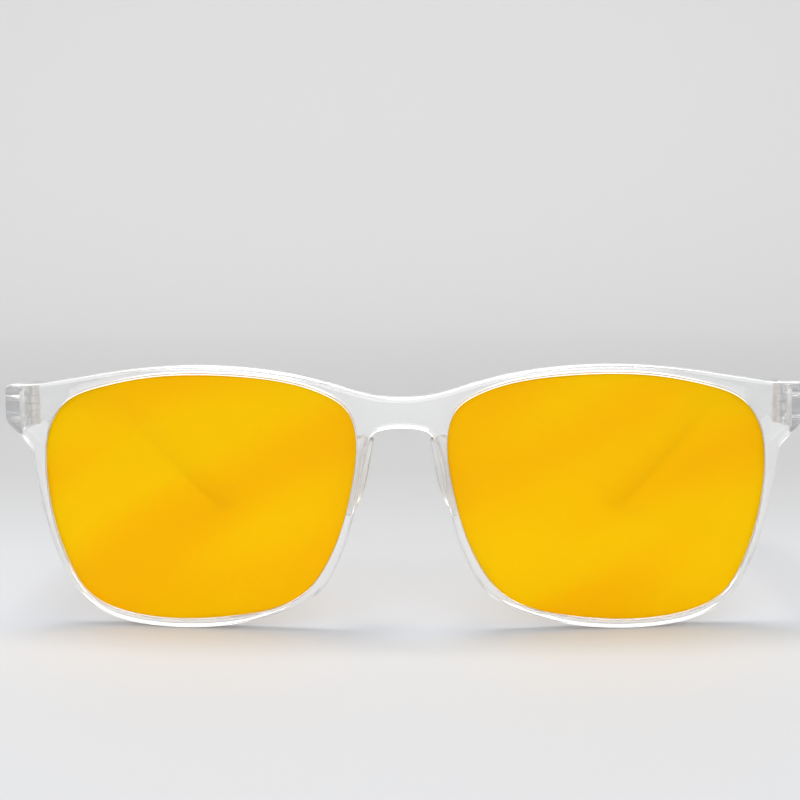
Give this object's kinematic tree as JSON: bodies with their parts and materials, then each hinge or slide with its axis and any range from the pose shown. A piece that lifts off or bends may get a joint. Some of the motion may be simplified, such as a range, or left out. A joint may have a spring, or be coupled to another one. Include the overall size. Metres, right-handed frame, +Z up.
{
  "type": "blue light glasses",
  "caption": "Clear-framed square blue light glasses with amber lenses, nose pads and folding temples on riveted knuckle hinges.",
  "frame": {"origin": "centre of the bottom of the box round the open glasses, on the surface that they stand on", "axes": "+Z up, -Y out of the front of the lenses, +Y back along the open temples, +X to the wearer's left"},
  "size_m": [0.1446, 0.1472, 0.0482],
  "materials": {
    "clear_plastic": "polished, colourless and see-through",
    "clear_pad": "polished, colourless and see-through",
    "amber_lens": "polished, tinted amber all through",
    "nickel_silver": "satin",
    "screw_steel": "satin",
    "rivet_steel": "satin"
  },
  "bodies": {
    "front_assembly": {"front": "clear_plastic", "left_lens": "amber_lens", "left_nose_pad": "clear_pad", "left_front_hinge_leaf": "nickel_silver", "left_front_rivets": "rivet_steel", "left_hinge_screw": "screw_steel", "right_lens": "amber_lens", "right_nose_pad": "clear_pad", "right_front_hinge_leaf": "nickel_silver", "right_front_rivets": "rivet_steel", "right_hinge_screw": "screw_steel"},
    "left_temple_assembly": {"left_temple": "clear_plastic", "left_temple_hinge_leaf": "nickel_silver", "left_temple_rivets": "rivet_steel"},
    "right_temple_assembly": {"right_temple": "clear_plastic", "right_temple_hinge_leaf": "nickel_silver", "right_temple_rivets": "rivet_steel"}
  },
  "joints": [
    {"name": "left_temple_fold", "type": "hinge", "parent": "front_assembly", "child": "left_temple_assembly", "pos_m": [0.0681, -0.05735, 0.03975], "axis": [0, -0.0628, 0.998], "range_deg": [0, 80]},
    {"name": "right_temple_fold", "type": "hinge", "parent": "front_assembly", "child": "right_temple_assembly", "pos_m": [-0.0681, -0.05735, 0.03975], "axis": [0, 0.0628, -0.998], "range_deg": [0, 84]}
  ]
}
